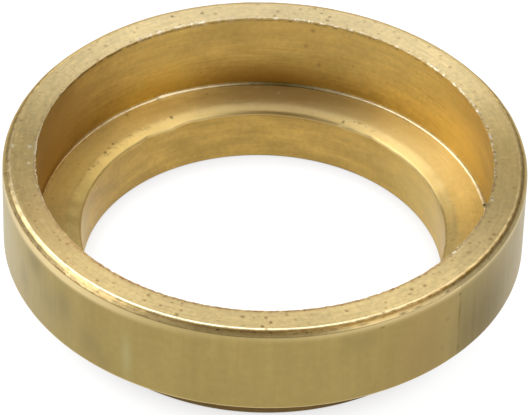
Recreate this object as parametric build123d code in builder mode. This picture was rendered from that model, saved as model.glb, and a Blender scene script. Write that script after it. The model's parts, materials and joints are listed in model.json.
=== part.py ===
"""Brass shoulder ring: a turned ring with a wide body, a narrower neck below it and a stepped hole through both.

The ring stands on the neck's foot, with its axis along +Z and its origin at the foot's centre.
All sizes are in millimetres.
"""
import os

from build123d import *

# Driving dimensions across the ring, from the hole outwards
bore_diameter = 42.0  # through hole in the neck
neck_wall = 3.5  # thickness of the neck
inner_shoulder = 5.25  # step from the bore out to the socket wall
body_wall = 3.75  # thickness of the body round the socket

# Driving dimensions along the axis
neck_length = 5.8  # from the foot up to the outer shoulder
shoulder_web = 1.2  # metal between the outer shoulder and the inner one
socket_depth = 10.0  # from the inner shoulder up to the top face

# Edges
rim_chamfer = 0.6  # 45 degree chamfer round the top face
lip_width = 1.45  # bevel where the inner shoulder runs into the bore, measured across
lip_drop = 0.6  # the same bevel, measured down the bore
lip_rounding = 1.2  # blends the shoulder into that bevel
socket_corner_radius = 0.3  # left by the tool's nose at the bottom of the socket
neck_root_radius = 1.5  # between the outer shoulder and the neck
body_edge_break = 0.2  # lower edge of the body
neck_edge_break = 0.2  # outer edge of the foot
bore_edge_break = 0.2  # inner edge of the foot

# Radii and heights that follow from them
bore_radius = bore_diameter / 2
neck_radius = bore_radius + neck_wall
socket_radius = bore_radius + inner_shoulder
outer_radius = socket_radius + body_wall
inner_shoulder_height = neck_length + shoulder_web
total_height = inner_shoulder_height + socket_depth

with BuildPart() as shoulder_ring:
    # Half of the stepped section, square at every corner
    with BuildSketch(Plane.XZ) as half_section:
        with BuildLine():
            Polyline(
                (bore_radius, 0),
                (neck_radius, 0),
                (neck_radius, neck_length),
                (outer_radius, neck_length),
                (outer_radius, total_height),
                (socket_radius, total_height),
                (socket_radius, inner_shoulder_height),
                (bore_radius, inner_shoulder_height),
                close=True,
            )
        make_face()
    revolve(axis=Axis.Z)

    # Circular edges by level, from the foot to the top face, and by radius within a level
    levels = shoulder_ring.edges().filter_by(GeomType.CIRCLE).group_by(Axis.Z)
    bore_foot, neck_foot = levels[0].sort_by(SortBy.RADIUS)
    neck_root, body_foot = levels[1].sort_by(SortBy.RADIUS)
    lip, socket_corner = levels[2].sort_by(SortBy.RADIUS)
    rim = levels[3].sort_by(SortBy.RADIUS)[-1]
    shoulder_face = shoulder_ring.faces().filter_by(Axis.Z).group_by(Axis.Z)[2][0]

    # Lip: a shallow bevel into the bore, blended into the shoulder
    chamfer(lip, length=lip_width, length2=lip_drop, reference=shoulder_face)
    lip_crest = shoulder_ring.edges().filter_by(GeomType.CIRCLE).group_by(Axis.Z)[3].sort_by(SortBy.RADIUS)[0]
    fillet(lip_crest, radius=lip_rounding)

    # Inner corners keep the tool's radius and outer edges are broken. The socket's mouth stays sharp.
    fillet(socket_corner, radius=socket_corner_radius)
    fillet(neck_root, radius=neck_root_radius)
    chamfer(rim, length=rim_chamfer)
    chamfer(body_foot, length=body_edge_break)
    chamfer(neck_foot, length=neck_edge_break)
    chamfer(bore_foot, length=bore_edge_break)

shoulder_ring.part.label = "shoulder_ring"
os.makedirs("parts", exist_ok=True)
export_step(shoulder_ring.part, "parts/shoulder_ring.step")
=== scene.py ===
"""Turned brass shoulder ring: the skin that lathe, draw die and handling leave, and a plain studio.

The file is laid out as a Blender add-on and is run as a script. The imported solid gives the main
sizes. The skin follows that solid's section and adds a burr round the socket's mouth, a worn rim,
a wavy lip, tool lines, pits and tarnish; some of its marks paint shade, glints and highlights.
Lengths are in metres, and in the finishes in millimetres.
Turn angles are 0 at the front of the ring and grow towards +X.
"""
import json
import math
from typing import NamedTuple

import bpy
import numpy as np
from bpy.props import FloatProperty, FloatVectorProperty, IntProperty, PointerProperty
from mathutils import Matrix, Vector


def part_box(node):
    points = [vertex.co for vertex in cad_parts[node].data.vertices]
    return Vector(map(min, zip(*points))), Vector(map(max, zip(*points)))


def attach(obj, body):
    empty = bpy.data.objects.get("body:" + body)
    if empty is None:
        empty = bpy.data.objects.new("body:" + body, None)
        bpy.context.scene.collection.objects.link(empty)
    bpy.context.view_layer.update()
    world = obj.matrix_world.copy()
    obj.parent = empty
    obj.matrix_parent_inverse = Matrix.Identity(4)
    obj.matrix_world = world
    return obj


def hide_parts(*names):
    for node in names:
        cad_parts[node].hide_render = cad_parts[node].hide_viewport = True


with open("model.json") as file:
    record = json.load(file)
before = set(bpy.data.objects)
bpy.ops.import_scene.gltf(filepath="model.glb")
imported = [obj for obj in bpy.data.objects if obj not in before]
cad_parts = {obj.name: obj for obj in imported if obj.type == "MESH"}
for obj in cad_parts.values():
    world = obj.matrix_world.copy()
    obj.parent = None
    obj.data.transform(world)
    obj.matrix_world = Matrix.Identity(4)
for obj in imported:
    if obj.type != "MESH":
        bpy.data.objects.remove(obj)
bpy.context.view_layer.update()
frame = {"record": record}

bl_info = {
    "name": "Turned Shoulder Ring",
    "version": (1, 0, 0),
    "blender": (4, 5, 0),
    "location": "View3D > Sidebar > Shoulder Ring",
    "description": "Dresses a plain shoulder ring as turned brass on a pale studio floor",
    "category": "Object",
}

MM = 0.001
NODE = "shoulder_ring"
BODY = "root"
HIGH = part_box(NODE)[1]
MOUNTS = {mount["name"]: mount for mount in frame["record"]["mounts"]}


def mount_radius(name):
    """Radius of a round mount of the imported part, in metres."""
    return MOUNTS[name]["dims"]["r_mm"] * MM


def mount_height(name):
    """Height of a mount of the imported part, in metres."""
    return MOUNTS[name]["pos_m"][2]


def length(name, description, default):
    """A length that a user may set, in metres."""
    return FloatProperty(
        name=name, description=description, default=default, min=0.0, unit="LENGTH", precision=5
    )


def colour(name, description, default):
    """A linear colour that a user may set."""
    return FloatVectorProperty(
        name=name,
        description=description,
        default=default,
        size=3,
        min=0.0,
        max=1.0,
        subtype="COLOR",
    )


def share(name, description, default, top=1.0):
    """A plain number from zero up that a user may set."""
    return FloatProperty(name=name, description=description, default=default, min=0.0, max=top)


def angle(name, description, degrees):
    """An angle that a user may set, given in degrees."""
    return FloatProperty(
        name=name, description=description, default=math.radians(degrees), subtype="ANGLE"
    )


class RingSizes(bpy.types.PropertyGroup):
    """Sizes of the ring's section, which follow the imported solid, and of the wear on its edges."""

    outer_radius: length("Outer radius", "Radius of the body's outside wall", HIGH.x)
    height: length("Height", "From the foot to the top face", HIGH.z)
    socket_radius: length("Socket radius", "Radius of the socket wall", mount_radius("socket"))
    bore_radius: length("Bore radius", "Radius of the through hole", mount_radius("bore"))
    neck_radius: length("Neck radius", "Radius of the neck below the body", mount_radius("neck"))
    ledge_height: length(
        "Outer shoulder height",
        "From the foot to the body's underside",
        mount_height("outer_shoulder"),
    )
    shoulder_height: length(
        "Inner shoulder height",
        "From the foot to the socket's floor",
        mount_height("inner_shoulder"),
    )
    rim_chamfer: length("Rim chamfer", "Chamfer round the top face", 0.6 * MM)
    lip_width: length("Lip width", "Bevel from the shoulder to the bore, across", 1.45 * MM)
    lip_drop: length("Lip drop", "The same bevel, downwards", 0.38 * MM)
    lip_rounding: length("Lip rounding", "Blend of the shoulder into the bevel", 2.8 * MM)
    corner_radius: length("Socket corner", "Tool radius at the socket's floor", 0.36 * MM)
    root_radius: length("Neck root", "Radius between the neck and the body's underside", 1.5 * MM)
    edge_break: length("Edge break", "Break of the lower edges", 0.2 * MM)
    edge_softness: length("Edge softness", "Rounding that use leaves on a broken edge", 0.05 * MM)
    crest_softness: length("Crest softness", "Rounding of the chamfer's upper edge", 0.8 * MM)
    wall_softness: length("Wall edge softness", "Rounding of the chamfer's lower edge", 0.22 * MM)
    lip_softness: length("Lip softness", "Rounding of the lip's lower edge", 0.42 * MM)
    rim_wander: length("Rim wander", "How far the chamfer's edges wander", 0.05 * MM)
    burr_reach: length("Burr reach", "How far the burr leans into the socket", 0.20 * MM)
    burr_rise: length("Burr rise", "How far the burr stands above the top face", 0.03 * MM)
    lip_wander: length("Lip wander", "How far the lip's edges wander", 0.05 * MM)
    turn_steps: IntProperty(
        name="Turn steps", description="Facets round the ring", default=960, min=120, max=960
    )


class RingFinish(bpy.types.PropertyGroup):
    """Colours of the brass, by how each surface was made; some of them also paint shade, glints and
    highlights.
    """

    wall_colour: colour("Drawn wall", "Brass of the outside wall", (0.355, 0.266, 0.09))
    top_colour: colour("Faced top", "Freshly faced brass of the top", (0.575, 0.445, 0.206))
    rim_colour: colour("Rim", "Brass of the chamfer and its edges", (0.76, 0.60, 0.30))
    corner_colour: colour("Socket corner", "Bright line at the socket's foot", (0.80, 0.66, 0.40))
    socket_colour: colour("Bored socket", "Brass of the socket wall", (0.62, 0.43, 0.125))
    shoulder_colour: colour("Inner shoulder", "Brass of the shoulder and lip", (0.69, 0.54, 0.225))
    bore_colour: colour("Bore", "Brass of the bore", (0.495, 0.322, 0.084))
    # The neck and underside are darkened to paint the shade under the body's overhang.
    neck_colour: colour("Neck", "Brass of the neck and the underside", (0.155, 0.098, 0.032))
    # Brown tarnish; some marks in it are painted shade that dims the crest, the top face's sides and
    # the lip's highlight.
    tarnish_colour: colour("Tarnish", "Brown that gathers on the brass", (0.30, 0.19, 0.065))
    # Dark dirt in pits and nicks; it also paints shade under the mouth's burr and on the crest at
    # the back.
    pit_colour: colour("Pits", "Dirt in pits and nicks", (0.035, 0.021, 0.010))
    # Near-white: torn metal of the burr, and painted glints and highlights on the top, the crest and
    # the lip.
    burr_colour: colour("Burr", "Torn bright metal of the burr", (0.98, 0.92, 0.74))
    golden_colour: colour("Golden patches", "Warm patches of the socket wall", (0.78, 0.52, 0.12))
    worn_colour: colour("Worn wall", "Pale stretch of the outside wall", (0.58, 0.49, 0.23))
    filed_colour: colour("Filed edge", "Bright metal where a file cut the rim", (0.80, 0.63, 0.32))
    brushed_colour: colour("Brushed bore", "Paler brushed parts of the bore", (0.80, 0.60, 0.19))
    # Paints the whitened tone of the shoulder's highlight.
    pale_colour: colour("Pale shoulder", "Paler part of the inner shoulder", (0.66, 0.56, 0.32))
    # Warm brown: real streaks on the socket wall, and painted shade on its left side, low at its
    # back and on the corner line's left stretch.
    amber_colour: colour("Amber shade", "Warm brown of the socket wall", (0.42, 0.225, 0.045))
    smudge_colour: colour("Smudges", "Dull smudges on the outside wall", (0.25, 0.195, 0.075))
    # Dark colour of the wall's seam and small stains, and painted shade on the wall's right side and
    # at the back of the socket corner.
    dull_colour: colour("Dull stains", "Darkest stains of the outside wall", (0.15, 0.103, 0.012))
    # Brown lines along the edges; under the lip at the back it is painted shade.
    groove_colour: colour("Grooves", "Brown lines along the edges", (0.26, 0.15, 0.030))
    bloom_colour: colour("Bloom", "Pale greenish bloom on the outside wall", (0.46, 0.44, 0.24))
    rust_colour: colour("Brown spots", "Reddish brown spots", (0.26, 0.13, 0.045))


class Studio(bpy.types.PropertyGroup):
    """Floor, light and camera of the studio."""

    floor_colour: colour("Floor", "Colour of the floor", (0.24, 0.24, 0.24))
    floor_glow: share("Floor glow", "Evens out the floor's white", 0.92)
    contact_reach: length("Contact reach", "How far the ring's contact shade reaches", 3.0 * MM)
    contact_depth: share("Contact depth", "How dark that shade is", 0.34)
    room_level: share("Room", "Level of the plain room round the stage", 0.39)
    lamp_level: share("Lamps", "Level of all the softboxes", 1.0, 10.0)
    distance: length("Camera distance", "From the camera to the point it looks at", 483.65 * MM)
    elevation: angle("Camera elevation", "How far the camera looks down", 40.184)
    roll: angle("Camera roll", "How far the camera leans", 1.642)
    lens: FloatProperty(
        name="Lens", description="Focal length in millimetres", default=285.0, min=1.0
    )
    aim_side: length("Aim sideways", "Aimed-at point, along X", 0.141 * MM)
    aim_height: length("Aim height", "Aimed-at point, above the floor", 9.642 * MM)


# Section of the ring

WALL, RIM, TOP, SOCKET, CORNER, SHOULDER, BORE, NECK = range(8)
NO_RUN = ()
SHORT_RUN = (0.05, 0.95)
LONG_RUN = (0.02, 0.08, 0.5, 0.92, 0.98)


class Corner(NamedTuple):
    """A corner of the section, its rounding, and the stations on the run that leaves it."""

    radius: float
    height: float
    rounding: float
    arc_steps: int
    arc_finish: int
    run: tuple
    run_finish: int


def section_corners(sizes):
    """Corners of the section by name: out from the bore's foot, up, and down the socket."""
    soft = sizes.edge_softness
    cut = sizes.edge_break
    ledge = sizes.ledge_height
    floor = sizes.shoulder_height
    top = sizes.height - sizes.burr_rise
    bore, neck, outer = sizes.bore_radius, sizes.neck_radius, sizes.outer_radius
    socket = sizes.socket_radius
    chamfer = sizes.rim_chamfer
    lip = bore + sizes.lip_width
    lip_foot = floor - sizes.lip_drop
    return {
        "bore foot": Corner(bore + cut, 0.0, soft, 2, NECK, SHORT_RUN, NECK),
        "neck foot": Corner(neck - cut, 0.0, soft, 2, NECK, NO_RUN, NECK),
        "neck edge": Corner(neck, cut, soft, 2, NECK, SHORT_RUN, NECK),
        "neck root": Corner(neck, ledge, sizes.root_radius, 6, NECK, SHORT_RUN, NECK),
        "body foot": Corner(outer - cut, ledge, soft, 2, WALL, NO_RUN, WALL),
        "wall foot": Corner(outer, ledge + cut, soft, 2, WALL, LONG_RUN, WALL),
        "wall top": Corner(outer, top - chamfer, sizes.wall_softness, 6, WALL, SHORT_RUN, RIM),
        "crest": Corner(outer - chamfer, top, sizes.crest_softness, 7, RIM, LONG_RUN, TOP),
        "mouth": Corner(socket, top, soft, 5, TOP, LONG_RUN, SOCKET),
        "socket corner": Corner(socket, floor, sizes.corner_radius, 6, CORNER, LONG_RUN, SHOULDER),
        "lip crest": Corner(lip, floor, sizes.lip_rounding, 7, SHOULDER, SHORT_RUN, SHOULDER),
        "lip edge": Corner(bore, lip_foot, sizes.lip_softness, 6, SHOULDER, LONG_RUN, BORE),
        "bore edge": Corner(bore, cut, soft, 2, NECK, NO_RUN, NECK),
    }


def corner_arc(before, corner, after):
    """Points of the arc that rounds a corner between the two straight runs that meet there."""
    here = np.array(corner[:2])
    back = np.array(before[:2]) - here
    ahead = np.array(after[:2]) - here
    back /= np.linalg.norm(back)
    ahead /= np.linalg.norm(ahead)
    half_angle = math.acos(np.clip(back @ ahead, -1.0, 1.0)) / 2
    tangent = corner.rounding / math.tan(half_angle)
    middle = (back + ahead) / np.linalg.norm(back + ahead)
    centre = here + middle * corner.rounding / math.sin(half_angle)
    first = here + back * tangent - centre
    last = here + ahead * tangent - centre
    start = math.atan2(first[1], first[0])
    sweep = (math.atan2(last[1], last[0]) - start + math.pi) % math.tau - math.pi
    angles = start + sweep * np.linspace(0.0, 1.0, corner.arc_steps + 1)
    return centre + corner.rounding * np.column_stack((np.cos(angles), np.sin(angles)))


def section_stations(corners):
    """Points of the section in order, and the finish of the strip that leaves each point."""
    listed = list(corners.values())
    arcs = [
        corner_arc(before, corner, after)
        for before, corner, after in zip(listed[-1:] + listed[:-1], listed, listed[1:] + listed[:1])
    ]
    points = []
    finishes = []
    for corner, arc, next_arc in zip(listed, arcs, arcs[1:] + arcs[:1]):
        points.extend(arc)
        points.extend(arc[-1] + part * (next_arc[0] - arc[-1]) for part in corner.run)
        finishes.extend([corner.arc_finish] * corner.arc_steps)
        finishes.extend([corner.run_finish] * (1 + len(corner.run)))
    return np.array(points), finishes


# Wear on the edges


class Wear(NamedTuple):
    """A change of shape at a corner: its reach, the way it leans, and its depth round the ring."""

    corner: str
    reach: float
    lean: tuple
    depth: np.ndarray


class Waves(NamedTuple):
    """Noise round the ring: its seed, its fewest and most waves a turn, and how they fall off."""

    seed: int
    fewest: int
    most: int
    fall: float = 0.5


class Span(NamedTuple):
    """A span of the ring: its turn angle and half width in degrees, and its level."""

    turn: float
    width: float
    level: float = 1.0


def ripple(turns, waves):
    """Noise round the ring with a peak of one."""
    draws = np.random.default_rng(waves.seed)
    counts = np.arange(waves.fewest, waves.most + 1)
    phases = draws.uniform(0.0, math.tau, counts.size)
    swells = np.cos(np.outer(counts, turns) + phases[:, None])
    value = (counts[:, None] ** -waves.fall * swells).sum(axis=0)
    return value / np.abs(value).max()


def wander(turns, waves, base, swing):
    """Noise round the ring that swings about a base."""
    return base + swing * ripple(turns, waves)


def at_turn(turns, degrees, width):
    """A bump of height one at a turn angle, with its half width in degrees."""
    away = (np.degrees(turns) - degrees + 180.0) % 360.0 - 180.0
    return np.exp(-((away / width) ** 2))


def bumps(turns, spans):
    """Soft bumps at some spans of the ring, each as high as the span's level."""
    return sum(span.level * at_turn(turns, span.turn, span.width) for span in spans)


STEP_EDGE = 0.35
STEP_LIMIT = 20.0


def step_at(turns, degrees, fall):
    """A soft step of height one at a turn angle, which fades over so many degrees below it."""
    past = (degrees - np.degrees(turns) + 180.0) % 360.0 - 180.0
    edge = 1.0 + np.exp(-np.clip(past, -STEP_LIMIT, STEP_LIMIT) / STEP_EDGE)
    return np.exp(-np.maximum(past, 0.0) / fall) / edge


RIM_NICKS = (
    Span(-46.0, 1.0, 0.9),
    Span(-22.0, 1.3, 0.7),
    Span(21.0, 0.8, 0.6),
    Span(24.5, 1.2, 0.8),
    Span(29.0, 1.0, 1.0),
    Span(33.0, 1.5, 0.5),
)
BURR_SPANS = (
    Span(-156.0, 10.0, 1.0),
    Span(-88.0, 10.0, 0.6),
    Span(166.0, 16.0, 0.7),
    Span(128.0, 22.0, 0.8),
    Span(92.0, 10.0, 0.7),
)
SERRATED_SPANS = (Span(-35.0, 24.0, 1.0), Span(56.0, 18.0, 0.9))
BURR_FLAKES = (Span(74.0, 0.9),)
FILED_SPANS = (Span(-56.0, 26.0),)
LIP_KINKS = (
    Span(-139.0, 2.2, 1.0),
    Span(-147.0, 2.4, -1.2),
    Span(-154.0, 2.4, 1.0),
    Span(143.0, 2.4, 0.8),
    Span(154.0, 2.0, -1.0),
)
BURR_WAVES = Waves(5, 40, 200, 0.2)
SERRATED_WAVES = Waves(6, 60, 190, 0.0)
FLECK_WAVES = Waves(11, 30, 420, 0.1)
CREST_WAVES = Waves(21, 4, 160)
WALL_EDGE_WAVES = Waves(22, 3, 60)
LIP_CREST_WAVES = Waves(31, 3, 60)
LIP_EDGE_WAVES = Waves(33, 4, 70)
CORNER_WAVES = Waves(41, 4, 120)
FOOT_WAVES = Waves(42, 4, 80)

# Shares of the burr's reach and rise
LEAST_BURR = 0.35
LEAST_RISE = 0.25
FLECK_CONTRAST = 2.2
FLECK_REACH = 0.5
SERRATED_REACH = 0.3
FLAKE_REACH = 2.4

# Shares of the rim's and the lip's wander
NICK_DEPTH = 1.6
LIP_CREST_SWING = 1.6
KINK_DEPTH = 2.6

FILED_DEPTH = 0.16 * MM
CORNER_SWING = 0.03 * MM
CORNER_STEP = -150.0
CORNER_STEP_RISE = 0.23 * MM
CORNER_STEP_FALL = 7.0

# Ways to lean, as parts outwards and upwards
INWARDS = (-1.0, 0.0)
UPWARDS = (0.0, 1.0)


def edge_wear(sizes, turns):
    """All the wear on the ring's edges."""
    burr = LEAST_BURR + bumps(turns, BURR_SPANS)
    flecks = np.clip(ripple(turns, FLECK_WAVES) * FLECK_CONTRAST, 0.0, 1.0)
    burr_edge = wander(turns, BURR_WAVES, base=0.4, swing=0.3) + FLECK_REACH * burr * flecks
    serrated = bumps(turns, SERRATED_SPANS)
    burr_lean = sizes.burr_reach * burr_edge
    burr_lean += sizes.burr_reach * SERRATED_REACH * serrated * ripple(turns, SERRATED_WAVES)
    burr_lean += FLAKE_REACH * sizes.burr_reach * bumps(turns, BURR_FLAKES)
    burr_rise = sizes.burr_rise * np.clip(LEAST_RISE + burr * flecks, 0.0, 1.0)
    filed = FILED_DEPTH * bumps(turns, FILED_SPANS)
    crest = wander(turns, CREST_WAVES, base=0.6, swing=0.7) + NICK_DEPTH * bumps(turns, RIM_NICKS)
    wall_edge = wander(turns, WALL_EDGE_WAVES, base=0.3, swing=1.0)
    lip_crest = sizes.lip_wander * LIP_CREST_SWING * ripple(turns, LIP_CREST_WAVES)
    lip_edge = wander(turns, LIP_EDGE_WAVES, base=1.5, swing=1.0)
    lip_edge += KINK_DEPTH * bumps(turns, LIP_KINKS)
    corner = CORNER_SWING * ripple(turns, CORNER_WAVES)
    corner_step = CORNER_STEP_RISE * step_at(turns, CORNER_STEP, CORNER_STEP_FALL)
    foot = wander(turns, FOOT_WAVES, base=0.5, swing=0.5)
    return [
        Wear("wall top", reach=0.65 * MM, lean=INWARDS, depth=filed),
        Wear("mouth", reach=0.16 * MM, lean=INWARDS, depth=burr_lean),
        Wear("mouth", reach=0.22 * MM, lean=UPWARDS, depth=burr_rise),
        Wear("crest", reach=0.40 * MM, lean=(-0.7, -0.7), depth=sizes.rim_wander * crest),
        Wear("wall top", reach=0.40 * MM, lean=(-0.3, -0.9), depth=sizes.rim_wander * wall_edge),
        Wear("lip crest", reach=0.9 * MM, lean=(0.8, -0.2), depth=lip_crest),
        Wear("lip edge", reach=0.5 * MM, lean=(0.92, 0.38), depth=sizes.lip_wander * lip_edge),
        Wear("socket corner", reach=0.4 * MM, lean=UPWARDS, depth=corner),
        Wear("socket corner", reach=0.5 * MM, lean=UPWARDS, depth=corner_step),
        Wear("body foot", reach=0.3 * MM, lean=(-0.7, 0.7), depth=sizes.rim_wander * foot),
    ]


def ring_mesh(sizes):
    """The ring's skin: the worn section carried round the axis, with a finish for each strip."""
    corners = section_corners(sizes)
    points, finishes = section_stations(corners)
    turns = math.tau * np.arange(sizes.turn_steps) / sizes.turn_steps
    worn = np.repeat(points[None, :, :], turns.size, axis=0)
    for wear in edge_wear(sizes, turns):
        away = np.linalg.norm(points - np.array(corners[wear.corner][:2]), axis=1)
        weight = np.exp(-((away / wear.reach) ** 2))
        worn += wear.depth[:, None, None] * weight[None, :, None] * np.array(wear.lean)
    radius = np.minimum(worn[:, :, 0], sizes.outer_radius)
    height = np.clip(worn[:, :, 1], 0.0, sizes.height)
    sideways = radius * np.sin(turns)[:, None]
    backwards = -radius * np.cos(turns)[:, None]
    vertices = np.stack((sideways, backwards, height), axis=2)
    around, along = height.shape
    index = np.arange(around * along).reshape(around, along)
    ahead = np.roll(index, -1, axis=0)
    faces = np.stack((index, ahead, np.roll(ahead, -1, axis=1), np.roll(index, -1, axis=1)), axis=2)
    mesh = bpy.data.meshes.new("turned_ring")
    mesh.from_pydata(vertices.reshape(-1, 3).tolist(), [], faces.reshape(-1, 4).tolist())
    mesh.polygons.foreach_set("material_index", np.tile(finishes, around))
    mesh.polygons.foreach_set("use_smooth", np.ones(around * along, dtype=bool))
    mesh.update()
    return mesh


# Node helpers


def add_node(tree, kind, inputs=None, **settings):
    """Adds a node, with its settings, and its inputs as values or as links from other nodes."""
    node = tree.nodes.new(kind)
    for name, value in settings.items():
        setattr(node, name, value)
    for name, value in (inputs or {}).items():
        if isinstance(value, bpy.types.NodeSocket):
            tree.links.new(value, node.inputs[name])
        else:
            node.inputs[name].default_value = value
    return node


def calculate(tree, operation, first, second=0.0, clamp=False):
    """Output of a Math node."""
    inputs = {0: first, 1: second}
    node = add_node(tree, "ShaderNodeMath", inputs, operation=operation, use_clamp=clamp)
    return node.outputs[0]


def times(tree, first, second):
    """A number times another."""
    return calculate(tree, "MULTIPLY", first, second)


def vector(tree, operation, first, second=(0.0, 0.0, 0.0)):
    """Vector output of a Vector Math node."""
    node = add_node(tree, "ShaderNodeVectorMath", {0: first, 1: second}, operation=operation)
    return node.outputs["Vector"]


def scaled(tree, direction, factor):
    """A vector times a number."""
    inputs = {0: direction, "Scale": factor}
    return add_node(tree, "ShaderNodeVectorMath", inputs, operation="SCALE").outputs["Vector"]


def stretch(tree, value, low, high, to_low=0.0, to_high=1.0):
    """Output of a clamped Map Range node."""
    limits = {"From Min": low, "From Max": high, "To Min": to_low, "To Max": to_high}
    node = add_node(tree, "ShaderNodeMapRange", {"Value": value, **limits}, clamp=True)
    return node.outputs["Result"]


def blend(tree, factor, first, second, kind="MIX"):
    """Colour output of a Mix node. Its colour sockets follow those of the other data types."""
    node = add_node(tree, "ShaderNodeMix", data_type="RGBA", blend_type=kind)
    sockets = {socket.identifier: socket for socket in node.inputs}
    for name, value in (("Factor_Float", factor), ("A_Color", first), ("B_Color", second)):
        if isinstance(value, bpy.types.NodeSocket):
            tree.links.new(value, sockets[name])
        else:
            sockets[name].default_value = value
    return next(socket for socket in node.outputs if socket.identifier == "Result_Color")


def effect(name, inputs, outputs):
    """An empty node group with number sockets: its tree, its given values and its results."""
    tree = bpy.data.node_groups.new(name, "ShaderNodeTree")
    for socket, default in inputs.items():
        entry = tree.interface.new_socket(socket, in_out="INPUT", socket_type="NodeSocketFloat")
        entry.default_value = default
    for socket in outputs:
        tree.interface.new_socket(socket, in_out="OUTPUT", socket_type="NodeSocketFloat")
    given = tree.nodes.new("NodeGroupInput").outputs
    made = tree.nodes.new("NodeGroupOutput").inputs
    return tree, given, made


def object_millimetres(tree):
    """Place on the ring in millimetres."""
    return scaled(tree, add_node(tree, "ShaderNodeTexCoord").outputs["Object"], 1 / MM)


# Effects that the finishes share

CLOUD_ROUGHNESS = 0.6
LINE_DETAIL = 3.0
GRAIN_DETAIL = 3.0
FLECK_DETAIL = 4.0
TARNISH_DETAIL = 5.0
TARNISH_SOFTNESS = 0.2
FLECK_SOFTNESS = 0.08
SIDE_SOFTNESS = 0.25
WOBBLE_SCALE = 3.0
PIT_WOBBLE = 0.35
LEAST_PIT = 0.01
PIT_EDGE = 1.0
PIT_FLOOR = 0.1


def lathe_place(tree):
    """Heading from the axis, turn angle in degrees, and lane: radius less height."""
    place = object_millimetres(tree)
    flat = vector(tree, "MULTIPLY", place, (1.0, 1.0, 0.0))
    radius = add_node(tree, "ShaderNodeVectorMath", {0: flat}, operation="LENGTH").outputs["Value"]
    parts = add_node(tree, "ShaderNodeSeparateXYZ", {0: place}).outputs
    ahead = times(tree, parts["Y"], -1.0)
    turn = calculate(tree, "DEGREES", calculate(tree, "ARCTAN2", parts["X"], ahead))
    return vector(tree, "NORMALIZE", flat), turn, calculate(tree, "SUBTRACT", radius, parts["Z"])


def cloud(tree, place, scale, detail):
    """Plain noise at a place."""
    inputs = {"Vector": place, "Scale": scale, "Detail": detail, "Roughness": CLOUD_ROUGHNESS}
    return add_node(tree, "ShaderNodeTexNoise", inputs).outputs[0]


def streaks(tree, given, heading_out, lane, detail):
    """Noise drawn out into streaks, by how fast it changes around the axis and across the lanes."""
    lift = times(tree, lane, given["Across"])
    step = add_node(tree, "ShaderNodeCombineXYZ", {"Z": lift}).outputs[0]
    place = vector(tree, "ADD", scaled(tree, heading_out, given["Around"]), step)
    return cloud(tree, place, 1.0, detail)


def square(tree, value):
    """A number times itself."""
    return times(tree, value, value)


def fade(tree, distance):
    """One at no distance, falling softly to zero past a distance of one."""
    return calculate(tree, "EXPONENT", times(tree, distance, -1.0))


def tool_lines():
    """Streaks round the axis or along it."""
    tree, given, made = effect("Tool lines", {"Around": 3.0, "Across": 4.0}, ["Lines"])
    heading_out, _, lane = lathe_place(tree)
    tree.links.new(streaks(tree, given, heading_out, lane, LINE_DETAIL), made["Lines"])
    return tree


def metal_grain():
    """Even grain, by its fineness in grains a millimetre."""
    tree, given, made = effect("Metal grain", {"Fineness": 3.0}, ["Grain"])
    grain = cloud(tree, object_millimetres(tree), given["Fineness"], GRAIN_DETAIL)
    tree.links.new(grain, made["Grain"])
    return tree


def small_pits():
    """Scattered pits: their spacing, their largest radius, and the share of places with one."""
    tree, given, made = effect("Small pits", {"Spacing": 1.5, "Size": 0.2, "Share": 0.3}, ["Pits"])
    density = calculate(tree, "DIVIDE", 1.0, given["Spacing"])
    place = object_millimetres(tree)
    noise = {"Vector": place, "Scale": WOBBLE_SCALE}
    wobble = add_node(tree, "ShaderNodeTexNoise", noise).outputs["Color"]
    place = vector(tree, "ADD", place, scaled(tree, wobble, PIT_WOBBLE))
    pattern = {"Vector": place, "Scale": density}
    cells = add_node(tree, "ShaderNodeTexVoronoi", pattern, feature="F1").outputs
    draw = add_node(tree, "ShaderNodeSeparateColor", {0: cells["Color"]}).outputs
    away = times(tree, cells["Distance"], given["Spacing"])
    radius = times(tree, given["Size"], draw["Green"])
    radius = calculate(tree, "MAXIMUM", radius, LEAST_PIT)
    inside = stretch(tree, calculate(tree, "DIVIDE", away, radius), PIT_EDGE, PIT_FLOOR)
    chosen = calculate(tree, "LESS_THAN", draw["Red"], given["Share"])
    tree.links.new(times(tree, inside, chosen), made["Pits"])
    return tree


def tarnish_patches():
    """Cloudy patches: their size and the level above which they show."""
    tree, given, made = effect("Tarnish patches", {"Patch": 6.0, "Level": 0.5}, ["Tarnish"])
    density = calculate(tree, "DIVIDE", 1.0, given["Patch"])
    low = calculate(tree, "SUBTRACT", given["Level"], TARNISH_SOFTNESS)
    high = calculate(tree, "ADD", given["Level"], TARNISH_SOFTNESS)
    patches = cloud(tree, object_millimetres(tree), density, TARNISH_DETAIL)
    tree.links.new(stretch(tree, patches, low, high), made["Tarnish"])
    return tree


PLACE = {"Turn": 0.0, "Spread": 5.0, "Lane": 10.0, "Reach": 4.0}


def turn_away(tree, given, turn):
    """Degrees from a spot's turn angle, the short way round."""
    wrapped = {0: calculate(tree, "SUBTRACT", turn, given["Turn"]), 1: 180.0, 2: -180.0}
    return add_node(tree, "ShaderNodeMath", wrapped, operation="WRAP").outputs[0]


def soft_spot(tree, given, turn, lane):
    """A soft spot at one turn angle and lane, with its half width in degrees and half length."""
    across = calculate(tree, "DIVIDE", turn_away(tree, given, turn), given["Spread"])
    along = calculate(tree, "SUBTRACT", lane, given["Lane"])
    along = calculate(tree, "DIVIDE", along, given["Reach"])
    return fade(tree, calculate(tree, "ADD", square(tree, across), square(tree, along)))


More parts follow.
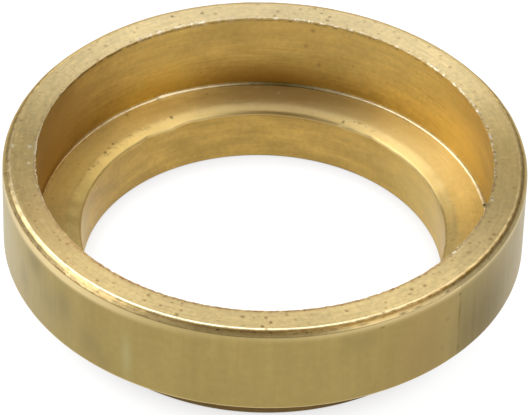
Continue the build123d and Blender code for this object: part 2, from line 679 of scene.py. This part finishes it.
def placed_mark():
    """A soft mark at one place. With a side of one, it is cut off below its turn angle."""
    tree, given, made = effect("Placed mark", {**PLACE, "Side": 0.0}, ["Mark"])
    _, turn, lane = lathe_place(tree)
    past = stretch(tree, turn_away(tree, given, turn), -SIDE_SOFTNESS, SIDE_SOFTNESS)
    kept = calculate(tree, "MAXIMUM", past, calculate(tree, "SUBTRACT", 1.0, given["Side"]))
    tree.links.new(times(tree, soft_spot(tree, given, turn, lane), kept), made["Mark"])
    return tree


def broken_edge():
    """Flecks or streaks in a soft spot, and the level of noise above which they show."""
    inputs = {**PLACE, "Around": 60.0, "Across": 2.0, "Level": 0.55}
    tree, given, made = effect("Broken edge", inputs, ["Flecks"])
    heading_out, turn, lane = lathe_place(tree)
    noise = streaks(tree, given, heading_out, lane, FLECK_DETAIL)
    high = calculate(tree, "ADD", given["Level"], FLECK_SOFTNESS)
    shown = stretch(tree, noise, given["Level"], high)
    tree.links.new(times(tree, soft_spot(tree, given, turn, lane), shown), made["Flecks"])
    return tree


def place_effect(tree, group, **values):
    """Puts a shared effect into a material with its own values, and gives its result."""
    node = add_node(tree, "ShaderNodeGroup", node_tree=group)
    for name, value in values.items():
        node.inputs[name.capitalize()].default_value = value
    return node.outputs[0]


# Finishes


class Look(NamedTuple):
    """How one finish differs from the others.

    Shades and weights are shares of the colour, and depths are hundredths of a millimetre. The edge
    tint colours what the metal shows at a glancing angle.
    """

    around: float
    across: float
    line_shade: float
    line_depth: float
    broad_around: float
    broad_across: float
    broad_shade: float
    grain: float
    grain_shade: float
    grain_depth: float
    pit_spacing: float
    pit_size: float
    pit_share: float
    tarnish_patch: float
    tarnish_level: float
    tarnish_weight: float
    roughness: float
    roughness_swing: float
    anisotropy: float
    edge_tint: tuple = (1.0, 1.0, 1.0)


class Mark(NamedTuple):
    """A mark at one place: turn angle and half width in degrees, lane and half length."""

    turn: float
    spread: float
    lane: float
    reach: float
    weight: float
    colour: str
    side: float = 0.0


class Flecks(NamedTuple):
    """Broken flecks or streaks at one place, which is given as for a mark."""

    turn: float
    spread: float
    lane: float
    reach: float
    around: float
    level: float
    weight: float
    colour: str
    across: float = 2.0


BUMP_UNIT = 0.01 * MM
ACROSS_THE_TURN = 0.25
ALL_ROUND = 1000.0
NOISE_RANGE = (0.25, 0.75)
TWO_NOISES_RANGE = (0.6, 1.4)
PIT_WEIGHT = 0.45
PIT_ROUGHNESS = 0.3
PIT_DEPTH = 1.5


def tone_swing(tree, noise, shade):
    """A factor about one that follows a noise."""
    return stretch(tree, noise, *NOISE_RANGE, 1 - shade, 1 + shade)


def opaque(finish, name):
    """One of the ring's colours by its short name, with an alpha of one."""
    return (*getattr(finish, name + "_colour"), 1.0)


def stained(tree, shade, finish, effects, marks, edges):
    """A colour with placed marks and then flecks laid over it."""
    for group, listed in (("mark", marks), ("edge", edges)):
        for item in listed:
            values = item._asdict()
            weight = values.pop("weight")
            stain = opaque(finish, values.pop("colour"))
            shown = place_effect(tree, effects[group], **values)
            shade = blend(tree, times(tree, shown, weight), shade, stain)
    return shade


def brass_finish(finish, effects, name, base, look, marks, edges):
    """A brass material with tool lines, grain, pits, tarnish, placed marks and flecks."""
    material = bpy.data.materials.new(name)
    material.use_nodes = True
    tree = material.node_tree
    tree.nodes.clear()
    lines = place_effect(tree, effects["lines"], around=look.around, across=look.across)
    broad = place_effect(tree, effects["lines"], around=look.broad_around, across=look.broad_across)
    grain = place_effect(tree, effects["grain"], fineness=look.grain)
    holes = {"spacing": look.pit_spacing, "size": look.pit_size, "share": look.pit_share}
    pits = place_effect(tree, effects["pits"], **holes)
    patches = {"patch": look.tarnish_patch, "level": look.tarnish_level}
    tarnish = place_effect(tree, effects["tarnish"], **patches)
    covered = times(tree, tarnish, look.tarnish_weight)
    shade = blend(tree, covered, opaque(finish, base), opaque(finish, "tarnish"))
    swings = ((lines, look.line_shade), (broad, look.broad_shade), (grain, look.grain_shade))
    for noise, swing in swings:
        tone = tone_swing(tree, noise, swing)
        grey = add_node(tree, "ShaderNodeCombineColor", {0: tone, 1: tone, 2: tone}).outputs[0]
        shade = blend(tree, 1.0, shade, grey, "MULTIPLY")
    shade = blend(tree, times(tree, pits, PIT_WEIGHT), shade, opaque(finish, "rust"))
    shade = stained(tree, shade, finish, effects, marks, edges)
    low, high = look.roughness - look.roughness_swing, look.roughness + look.roughness_swing
    rough = stretch(tree, calculate(tree, "ADD", lines, grain), *TWO_NOISES_RANGE, low, high)
    rough = calculate(tree, "ADD", rough, times(tree, pits, PIT_ROUGHNESS), clamp=True)
    ridges = times(tree, lines, look.line_depth)
    relief = calculate(tree, "ADD", ridges, times(tree, grain, look.grain_depth))
    relief = calculate(tree, "SUBTRACT", relief, times(tree, pits, PIT_DEPTH))
    heights = {"Strength": 1.0, "Distance": BUMP_UNIT, "Height": relief}
    bump = add_node(tree, "ShaderNodeBump", heights)
    metal = {
        "Base Color": shade,
        "Metallic": 1.0,
        "Specular Tint": (*look.edge_tint, 1.0),
        "Roughness": rough,
        "Normal": bump.outputs[0],
        "Anisotropic": look.anisotropy,
        "Anisotropic Rotation": ACROSS_THE_TURN,
    }
    shader = add_node(tree, "ShaderNodeBsdfPrincipled", metal)
    tangent = add_node(tree, "ShaderNodeTangent", direction_type="RADIAL", axis="Z")
    tree.links.new(tangent.outputs[0], shader.inputs["Tangent"])
    output = add_node(tree, "ShaderNodeOutputMaterial")
    tree.links.new(shader.outputs[0], output.inputs["Surface"])
    return material


DRAWN = Look(
    around=45.0, across=0.05, line_shade=0.05, line_depth=0.10,
    broad_around=12.0, broad_across=0.10, broad_shade=0.065,
    grain=1.2, grain_shade=0.07, grain_depth=0.15,
    pit_spacing=2.2, pit_size=0.16, pit_share=0.08,
    tarnish_patch=7.0, tarnish_level=0.60, tarnish_weight=0.18,
    roughness=0.38, roughness_swing=0.06, anisotropy=0.0,
)
CUT = Look(
    around=30.0, across=1.2, line_shade=0.08, line_depth=0.12,
    broad_around=10.0, broad_across=0.3, broad_shade=0.10,
    grain=2.6, grain_shade=0.12, grain_depth=0.3,
    pit_spacing=1.1, pit_size=0.22, pit_share=0.45,
    tarnish_patch=3.0, tarnish_level=0.62, tarnish_weight=0.25,
    roughness=0.30, roughness_swing=0.06, anisotropy=0.0, edge_tint=(0.60, 0.55, 0.42),
)
FACED = Look(
    around=6.0, across=3.0, line_shade=0.14, line_depth=0.25,
    broad_around=9.0, broad_across=0.6, broad_shade=0.08,
    grain=1.7, grain_shade=0.16, grain_depth=0.30,
    pit_spacing=0.75, pit_size=0.36, pit_share=0.80,
    tarnish_patch=3.0, tarnish_level=0.64, tarnish_weight=0.15,
    roughness=0.42, roughness_swing=0.06, anisotropy=0.85,
)
SEATED = Look(
    around=5.0, across=2.5, line_shade=0.10, line_depth=0.2,
    broad_around=6.0, broad_across=0.5, broad_shade=0.10,
    grain=1.8, grain_shade=0.12, grain_depth=0.25,
    pit_spacing=1.3, pit_size=0.26, pit_share=0.60,
    tarnish_patch=4.0, tarnish_level=0.62, tarnish_weight=0.18,
    roughness=0.42, roughness_swing=0.06, anisotropy=0.8,
)
BORED = Look(
    around=3.0, across=2.0, line_shade=0.13, line_depth=0.2,
    broad_around=3.0, broad_across=0.40, broad_shade=0.18,
    grain=1.8, grain_shade=0.14, grain_depth=0.2,
    pit_spacing=2.0, pit_size=0.24, pit_share=0.40,
    tarnish_patch=5.0, tarnish_level=0.60, tarnish_weight=0.32,
    roughness=0.44, roughness_swing=0.06, anisotropy=0.4,
)
REAMED = BORED._replace(
    around=2.0, line_shade=0.12, broad_shade=0.22, grain_shade=0.13, tarnish_weight=0.40
)
SHARP = BORED._replace(
    around=20.0, line_shade=0.12, pit_share=0.15, roughness=0.30, anisotropy=0.0
)

WALL_MARKS = (
    Mark(-76.0, 22.0, 18.0, 14.0, 0.38, "worn"),
    Mark(-58.0, 3.5, 16.0, 1.8, 0.75, "smudge"),
    Mark(-63.0, 2.5, 20.0, 2.2, 0.45, "smudge"),
    Mark(-52.0, 3.0, 19.5, 2.0, 0.40, "smudge"),
    Mark(-47.0, 2.5, 18.0, 2.4, 0.60, "smudge"),
    Mark(-39.0, 3.0, 21.0, 1.8, 0.50, "smudge"),
    Mark(-35.0, 2.0, 22.8, 1.2, 0.35, "smudge"),
    Mark(-55.0, 30.0, 13.80, 0.50, 1.0, "filed"),
    Mark(-50.0, 20.0, 14.30, 0.35, 0.9, "filed"),
    Mark(-50.0, 34.0, 13.48, 0.10, 0.4, "groove"),
    Mark(45.0, 34.0, 13.70, 0.50, 0.85, "filed"),
    Mark(0.0, ALL_ROUND, 24.0, 0.10, 0.70, "filed"),
    Mark(-29.4, 1.2, 20.3, 3.0, 0.30, "bloom"),
    Mark(37.0, 9.0, 20.0, 9.0, 0.45, "tarnish"),
    Mark(22.0, 4.0, 15.6, 1.4, 0.40, "smudge"),
    Mark(47.3, 24.0, 20.5, 6.5, 0.75, "smudge", 1.0),
    # Painted shade: darkens the wall's right side round 57 degrees, more in its lower half.
    Mark(57.5, 10.0, 21.5, 6.0, 0.80, "dull"),
    Mark(47.4, 0.30, 18.3, 2.4, 0.60, "groove"),
    Mark(47.4, 0.24, 17.6, 1.5, 0.80, "dull"),
    Mark(47.2, 0.36, 14.9, 0.25, 0.75, "dull"),
    Mark(47.7, 0.32, 22.9, 0.45, 0.70, "dull"),
    Mark(26.5, 0.5, 14.4, 0.15, 0.70, "dull"),
    Mark(43.8, 0.5, 17.5, 0.25, 0.60, "rust"),
    Mark(42.6, 0.4, 21.4, 0.20, 0.60, "rust"),
)
WALL_STREAKS = (
    # Vertical streaks of painted shade on the wall's right side.
    Flecks(55.0, 8.0, 20.5, 4.5, 70.0, 0.50, 0.30, "dull", 0.15),
    Flecks(-55.0, 12.0, 19.5, 4.0, 50.0, 0.52, 0.25, "smudge", 0.20),
)
SOCKET_MARKS = (
    Mark(-151.0, 9.0, 17.0, 3.0, 0.5, "golden"),
    Mark(118.0, 14.0, 15.5, 5.0, 0.6, "golden"),
    # Painted shade: darkens the socket wall's left side and its foot at the back.
    Mark(-100.0, 32.0, 14.0, 9.0, 0.75, "amber"),
    Mark(180.0, 17.0, 18.4, 2.4, 0.78, "amber"),
    Mark(180.0, 22.0, 11.5, 4.0, 0.20, "amber"),
    Mark(74.0, 1.1, 9.50, 0.45, 1.0, "pit"),
    Mark(168.5, 0.5, 10.6, 0.25, 0.7, "rust"),
    Mark(170.2, 0.5, 13.0, 0.3, 0.6, "rust"),
    Mark(166.5, 0.5, 15.6, 0.3, 0.6, "rust"),
)
SOCKET_STREAKS = (
    Flecks(-176.0, 22.0, 15.5, 3.0, 5.0, 0.50, 0.42, "amber", 3.5),
    Flecks(-130.0, 26.0, 16.0, 4.0, 5.0, 0.54, 0.36, "amber", 3.0),
    Flecks(130.0, 30.0, 14.0, 4.5, 5.0, 0.55, 0.32, "amber", 3.0),
)
CORNER_MARKS = (
    # Painted shade: dims the corner line on the left.
    Mark(-106.0, 27.0, 19.25, 1.0, 0.95, "amber"),
    # Painted shade: dims the corner line at the back of the socket's foot.
    Mark(177.0, 15.0, 19.25, 1.0, 0.95, "dull"),
)
SHOULDER_MARKS = (
    Mark(-163.2, 0.35, 18.0, 0.15, 0.8, "pit"),
    Mark(-139.5, 0.35, 18.6, 0.15, 0.8, "pit"),
    Mark(-169.9, 0.3, 16.3, 0.13, 0.7, "pit"),
    Mark(138.4, 0.3, 18.6, 0.14, 0.7, "pit"),
    # Painted glints: thin bright lines on the shoulder.
    Mark(125.0, 3.0, 18.3, 0.08, 0.6, "burr"),
    Mark(122.0, 2.5, 17.9, 0.08, 0.5, "burr"),
    # Painted highlight tone on the shoulder's right side.
    Mark(128.0, 24.0, 17.0, 3.5, 0.5, "pale"),
    Mark(-110.0, 28.0, 17.0, 3.0, 0.5, "golden"),
    Mark(180.0, 110.0, 14.85, 0.50, 0.32, "golden"),
    Mark(170.0, 40.0, 17.2, 3.0, 0.50, "golden"),
    Mark(168.0, 42.0, 17.0, 3.2, 0.65, "filed"),
    # Painted highlight: paler lip at the back.
    Mark(180.0, 34.0, 15.10, 0.80, 0.08, "burr"),
    # Painted shade: dims the lip's highlight at both sides.
    Mark(118.0, 18.0, 15.00, 0.80, 0.20, "tarnish"),
    Mark(-116.0, 16.0, 15.20, 0.80, 0.12, "tarnish"),
    # Painted shade: dark line along the lip's lower edge at the back.
    Mark(175.0, 17.0, 14.58, 0.12, 0.70, "groove"),
    Mark(-149.6, 0.4, 15.4, 0.18, 0.9, "pit"),
    Mark(-123.3, 0.4, 15.6, 0.15, 0.8, "pit"),
    Mark(-127.8, 0.4, 15.8, 0.15, 0.8, "pit"),
    Mark(154.9, 0.4, 14.85, 0.14, 0.8, "pit"),
)
LIP_FLECKS = (
    Flecks(-124.0, 20.0, 15.45, 0.40, 40.0, 0.53, 0.75, "tarnish"),
    Flecks(150.0, 24.0, 15.20, 0.40, 34.0, 0.57, 0.50, "tarnish"),
)
BORE_MARKS = (
    # Painted shade: dark line along the bore's top edge at the back.
    Mark(176.0, 20.0, 14.72, 0.12, 0.60, "groove"),
    Mark(112.0, 24.0, 17.0, 6.0, 0.45, "brushed"),
    Mark(-88.0, 14.0, 17.0, 6.0, 0.40, "brushed"),
)
TOP_MARKS = (
    # Painted highlight: whitens the top face at the back.
    Mark(180.0, 65.0, 11.0, 6.0, 0.13, "burr"),
    Mark(-163.4, 0.4, 11.0, 0.2, 0.8, "pit"),
    Mark(-156.1, 0.4, 11.5, 0.2, 0.8, "pit"),
    Mark(-101.3, 0.5, 11.8, 0.25, 0.6, "rust"),
    Mark(-117.1, 0.5, 12.4, 0.25, 0.6, "rust"),
    Mark(74.0, 1.0, 8.85, 0.38, 1.0, "pit"),
    # Painted glints: small bright dots on the top face.
    Mark(-92.0, 0.5, 12.0, 0.2, 0.9, "burr"),
    Mark(-92.0, 0.5, 10.0, 0.2, 0.9, "burr"),
    Mark(-84.4, 0.5, 12.2, 0.2, 0.9, "burr"),
    Mark(-85.6, 0.4, 10.0, 0.15, 0.8, "burr"),
    Mark(76.4, 0.4, 9.55, 0.15, 0.9, "burr"),
    # Painted shade: darkens the top face's left and right stretches.
    Mark(-62.0, 20.0, 11.0, 4.0, 0.55, "tarnish"),
    Mark(68.0, 18.0, 11.0, 4.0, 0.27, "tarnish"),
    Mark(95.0, 18.0, 11.0, 4.0, 0.28, "golden"),
    Mark(-90.0, 18.0, 11.0, 4.0, 0.18, "golden"),
)
MOUTH_DIRT = (
    Flecks(-35.0, 24.0, 9.40, 0.24, 56.0, 0.48, 0.8, "rust"),
    Flecks(0.0, 75.0, 9.32, 0.20, 30.0, 0.38, 0.7, "rust"),
    Flecks(0.0, ALL_ROUND, 9.40, 0.22, 42.0, 0.56, 0.7, "rust"),
)
MOUTH_SHADE = (
    Flecks(-135.0, 35.0, 9.60, 0.18, 30.0, 0.40, 0.7, "pit"),
    Flecks(150.0, 40.0, 9.60, 0.16, 36.0, 0.52, 0.7, "pit"),
)
# Real burr at the mouth, with painted glints on its flecks.
MOUTH_BURR = (
    Flecks(-157.0, 13.0, 9.25, 0.36, 42.0, 0.50, 1.0, "burr"),
    Flecks(170.0, 16.0, 9.25, 0.20, 52.0, 0.53, 1.0, "burr"),
    Flecks(120.0, 34.0, 9.25, 0.20, 36.0, 0.51, 1.0, "burr"),
    Flecks(-84.0, 12.0, 9.25, 0.18, 26.0, 0.48, 0.9, "burr"),
    Flecks(55.5, 2.4, 9.34, 0.20, 44.0, 0.46, 0.9, "burr"),
)
MOUTH_INSIDE = MOUTH_SHADE + MOUTH_BURR
CREST_MARKS = (
    # Painted shade: dims the crest's reflection at the back.
    Mark(180.0, 72.0, 12.6, 0.8, 0.95, "tarnish"),
    Mark(180.0, 58.0, 12.8, 0.5, 0.70, "pit"),
    # Painted shade: dims the crest's reflection at the left and right.
    Mark(98.0, 24.0, 12.6, 0.8, 0.30, "tarnish"),
    Mark(-97.0, 22.0, 12.6, 0.8, 0.50, "tarnish"),
    Mark(2.0, 30.0, 12.95, 0.60, 0.40, "golden"),
    Mark(0.0, 24.0, 13.06, 0.46, 0.50, "groove"),
    Mark(10.0, 50.0, 12.62, 0.16, 0.85, "groove"),
    Mark(58.0, 34.0, 12.80, 0.24, 0.62, "groove"),
    # Brown on the crest at the right, partly real discolouring and partly painted shade that dims
    # its reflection.
    Mark(39.0, 25.0, 12.42, 0.42, 0.50, "tarnish"),
    Mark(68.0, 20.0, 12.45, 0.40, 0.50, "tarnish"),
    Mark(48.0, 34.0, 13.50, 0.28, 0.50, "filed"),
    Mark(32.0, 16.0, 13.10, 0.50, 0.30, "tarnish"),
    Mark(-50.0, 36.0, 13.02, 0.30, 0.35, "tarnish"),
    Mark(-50.0, 34.0, 13.48, 0.10, 0.25, "groove"),
    # Painted highlight along the crest at the front left.
    Mark(-22.0, 48.0, 12.20, 0.13, 0.70, "burr"),
    Mark(1.3, 0.35, 12.20, 0.30, 0.80, "tarnish"),
    Mark(15.8, 0.7, 13.03, 0.12, 0.50, "pit"),
    Mark(22.2, 1.2, 13.16, 0.15, 0.55, "pit"),
    Mark(27.4, 0.6, 12.21, 0.14, 0.70, "pit"),
    Mark(31.5, 0.9, 13.35, 0.16, 0.70, "pit"),
    Mark(35.2, 1.1, 13.33, 0.16, 0.60, "pit"),
    Mark(43.5, 0.6, 13.27, 0.14, 0.70, "pit"),
)
CREST_DIRT = (
    Flecks(12.0, 42.0, 12.80, 0.12, 14.0, 0.40, 0.70, "rust"),
    Flecks(48.0, 36.0, 12.62, 0.34, 30.0, 0.47, 0.85, "groove"),
    Flecks(5.0, 70.0, 12.22, 0.16, 16.0, 0.54, 0.45, "tarnish"),
    Flecks(-48.0, 34.0, 13.36, 0.16, 26.0, 0.49, 0.75, "rust"),
    Flecks(0.0, ALL_ROUND, 12.90, 0.20, 40.0, 0.58, 0.8, "pit"),
)


# Name, colour, look, marks and flecks of each material, in the order of the strips' finishes
FINISHES = (
    ("drawn_wall", "wall", DRAWN, WALL_MARKS, WALL_STREAKS + CREST_DIRT),
    ("cut_rim", "rim", CUT, CREST_MARKS, CREST_DIRT),
    ("faced_top", "top", FACED, TOP_MARKS, MOUTH_DIRT + MOUTH_BURR),
    ("bored_socket", "socket", BORED, SOCKET_MARKS, SOCKET_STREAKS + MOUTH_INSIDE),
    ("socket_corner", "corner", SHARP, CORNER_MARKS, ()),
    ("faced_shoulder", "shoulder", SEATED, SHOULDER_MARKS, LIP_FLECKS),
    ("bored_hole", "bore", REAMED, BORE_MARKS, ()),
    ("turned_neck", "neck", REAMED, (), ()),
)


def ring_finishes(finish):
    """The ring's materials, in the order of the strips' finishes."""
    effects = {
        "lines": tool_lines(),
        "grain": metal_grain(),
        "pits": small_pits(),
        "tarnish": tarnish_patches(),
        "mark": placed_mark(),
        "edge": broken_edge(),
    }
    return [brass_finish(finish, effects, *item) for item in FINISHES]


class SHOULDER_RING_OT_turn_ring(bpy.types.Operator):
    """Turn the ring's worn brass skin and show it in place of the plain solid"""

    bl_idname = "shoulder_ring.turn_ring"
    bl_label = "Turn ring"

    def execute(self, context):
        scene = context.scene
        ring = bpy.data.objects.new("turned_ring", ring_mesh(scene.ring_sizes))
        scene.collection.objects.link(ring)
        for material in ring_finishes(scene.ring_finish):
            ring.data.materials.append(material)
        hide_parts(NODE)
        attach(ring, BODY)
        return {"FINISHED"}


# Stage

WHITE = (1.0, 1.0, 1.0, 1.0)
FLOOR_HALF = 3.0
CONTACT_SAMPLES = 8
SENSOR_WIDTH = 36.0
CLIP_START = 0.01


def heading(azimuth, elevation):
    """Direction from the ring, by azimuth from the front towards +X and elevation, in degrees."""
    a = math.radians(azimuth)
    e = math.radians(elevation)
    return Vector((math.sin(a) * math.cos(e), -math.cos(a) * math.cos(e), math.sin(e)))


class Softbox(NamedTuple):
    """A flat lamp: its place from the ring, its size, and the level that a mirror would show."""

    name: str
    azimuth: float
    elevation: float
    distance: float
    width: float
    height: float
    level: float


SOFTBOXES = (
    Softbox("back_softbox", 180.0, 62.0, 0.80, 0.95, 0.36, 2.2),
    Softbox("left_softbox", -97.0, 40.0, 0.70, 0.74, 0.42, 2.4),
    Softbox("right_softbox", 60.0, 37.0, 0.70, 0.38, 0.32, 1.1),
    Softbox("backdrop_softbox", 180.0, 12.5, 0.90, 0.72, 0.38, 2.5),
    Softbox("right_fill", 68.0, 62.0, 0.70, 0.42, 0.30, 1.3),
)


def add_softbox(scene, softbox, share_lit):
    """Hangs a softbox so that it looks at the ring, with its width level."""
    lamp = bpy.data.lights.new(softbox.name, "AREA")
    lamp.shape = "RECTANGLE"
    lamp.size = softbox.width
    lamp.size_y = softbox.height
    lamp.energy = softbox.level * share_lit * math.pi * softbox.width * softbox.height
    box = bpy.data.objects.new(softbox.name, lamp)
    toward = heading(softbox.azimuth, softbox.elevation)
    box.location = toward * softbox.distance
    box.rotation_euler = toward.to_track_quat("Z", "Y").to_euler()
    scene.collection.objects.link(box)


def floor_material(studio):
    """Pale floor that shows white and keeps the ring's shadow."""
    material = bpy.data.materials.new("pale_floor")
    material.use_nodes = True
    tree = material.node_tree
    tree.nodes.clear()
    path = add_node(tree, "ShaderNodeLightPath").outputs
    seen = calculate(tree, "MAXIMUM", path["Is Camera Ray"], path["Is Glossy Ray"])
    seen = calculate(tree, "MAXIMUM", seen, path["Is Transmission Ray"])
    reach = {"Distance": studio.contact_reach}
    contact = add_node(tree, "ShaderNodeAmbientOcclusion", reach, samples=CONTACT_SAMPLES)
    open_sky = stretch(tree, contact.outputs["AO"], 0.0, 1.0, 1.0 - studio.contact_depth, 1.0)
    glow = times(tree, times(tree, seen, open_sky), studio.floor_glow)
    paint = add_node(tree, "ShaderNodeBsdfDiffuse", {"Color": (*studio.floor_colour, 1.0)})
    light = add_node(tree, "ShaderNodeEmission", {"Color": WHITE, "Strength": glow})
    both = add_node(tree, "ShaderNodeAddShader", {0: paint.outputs[0], 1: light.outputs[0]})
    output = add_node(tree, "ShaderNodeOutputMaterial")
    tree.links.new(both.outputs[0], output.inputs["Surface"])
    return material


def add_floor(scene, studio):
    """A wide flat floor at the ring's foot."""
    sides = ((-1, -1), (1, -1), (1, 1), (-1, 1))
    corners = [(x * FLOOR_HALF, y * FLOOR_HALF, 0.0) for x, y in sides]
    mesh = bpy.data.meshes.new("floor")
    mesh.from_pydata(corners, [], [(0, 1, 2, 3)])
    floor = bpy.data.objects.new("floor", mesh)
    floor.data.materials.append(floor_material(studio))
    scene.collection.objects.link(floor)


def light_room(scene, studio):
    """A plain grey room round the stage."""
    world = bpy.data.worlds.new("room")
    world.use_nodes = True
    tree = world.node_tree
    tree.nodes.clear()
    grey = {"Color": WHITE, "Strength": studio.room_level}
    sky = add_node(tree, "ShaderNodeBackground", grey)
    output = add_node(tree, "ShaderNodeOutputWorld")
    tree.links.new(sky.outputs[0], output.inputs["Surface"])
    scene.world = world


def add_camera(scene, studio):
    """The camera, with the leaning frame of the view that the ring is shown in."""
    data = bpy.data.cameras.new("camera")
    data.sensor_fit = "HORIZONTAL"
    data.sensor_width = SENSOR_WIDTH
    data.lens = studio.lens
    data.clip_start = CLIP_START
    camera = bpy.data.objects.new("camera", data)
    back = heading(0.0, math.degrees(studio.elevation))
    aim = Vector((studio.aim_side, 0.0, studio.aim_height))
    level = Vector((1.0, 0.0, 0.0))
    axes = Matrix((level, back.cross(level), back)).transposed()
    turned = axes @ Matrix.Rotation(studio.roll, 3, "Z")
    camera.matrix_world = Matrix.Translation(aim + back * studio.distance) @ turned.to_4x4()
    scene.collection.objects.link(camera)
    scene.camera = camera


class SHOULDER_RING_OT_set_stage(bpy.types.Operator):
    """Set the pale floor, the soft lights and the camera"""

    bl_idname = "shoulder_ring.set_stage"
    bl_label = "Set stage"

    def execute(self, context):
        scene = context.scene
        studio = scene.ring_studio
        scene.view_settings.view_transform = "Standard"
        add_floor(scene, studio)
        light_room(scene, studio)
        for softbox in SOFTBOXES:
            add_softbox(scene, softbox, studio.lamp_level)
        add_camera(scene, studio)
        return {"FINISHED"}


class SHOULDER_RING_PT_panel(bpy.types.Panel):
    """Sidebar panel with the ring's sizes, colours and studio"""

    bl_idname = "SHOULDER_RING_PT_panel"
    bl_label = "Shoulder ring"
    bl_space_type = "VIEW_3D"
    bl_region_type = "UI"
    bl_category = "Shoulder Ring"

    def draw(self, context):
        scene = context.scene
        for title, settings in (
            ("Sizes", scene.ring_sizes),
            ("Finish", scene.ring_finish),
            ("Studio", scene.ring_studio),
        ):
            box = self.layout.box()
            box.label(text=title)
            for name in settings.__annotations__:
                box.prop(settings, name)
        self.layout.operator(SHOULDER_RING_OT_turn_ring.bl_idname)
        self.layout.operator(SHOULDER_RING_OT_set_stage.bl_idname)


CLASSES = (
    RingSizes,
    RingFinish,
    Studio,
    SHOULDER_RING_OT_turn_ring,
    SHOULDER_RING_OT_set_stage,
    SHOULDER_RING_PT_panel,
)


def register():
    """Registers the classes and hangs their settings on the scene."""
    for cls in CLASSES:
        bpy.utils.register_class(cls)
    bpy.types.Scene.ring_sizes = PointerProperty(type=RingSizes)
    bpy.types.Scene.ring_finish = PointerProperty(type=RingFinish)
    bpy.types.Scene.ring_studio = PointerProperty(type=Studio)


def unregister():
    """Takes the settings and the classes away again."""
    del bpy.types.Scene.ring_studio
    del bpy.types.Scene.ring_finish
    del bpy.types.Scene.ring_sizes
    for cls in reversed(CLASSES):
        bpy.utils.unregister_class(cls)


def main():
    """Registers the add-on and makes the ring and its stage."""
    register()
    bpy.ops.shoulder_ring.turn_ring()
    bpy.ops.shoulder_ring.set_stage()


if __name__ == "__main__":
    main()
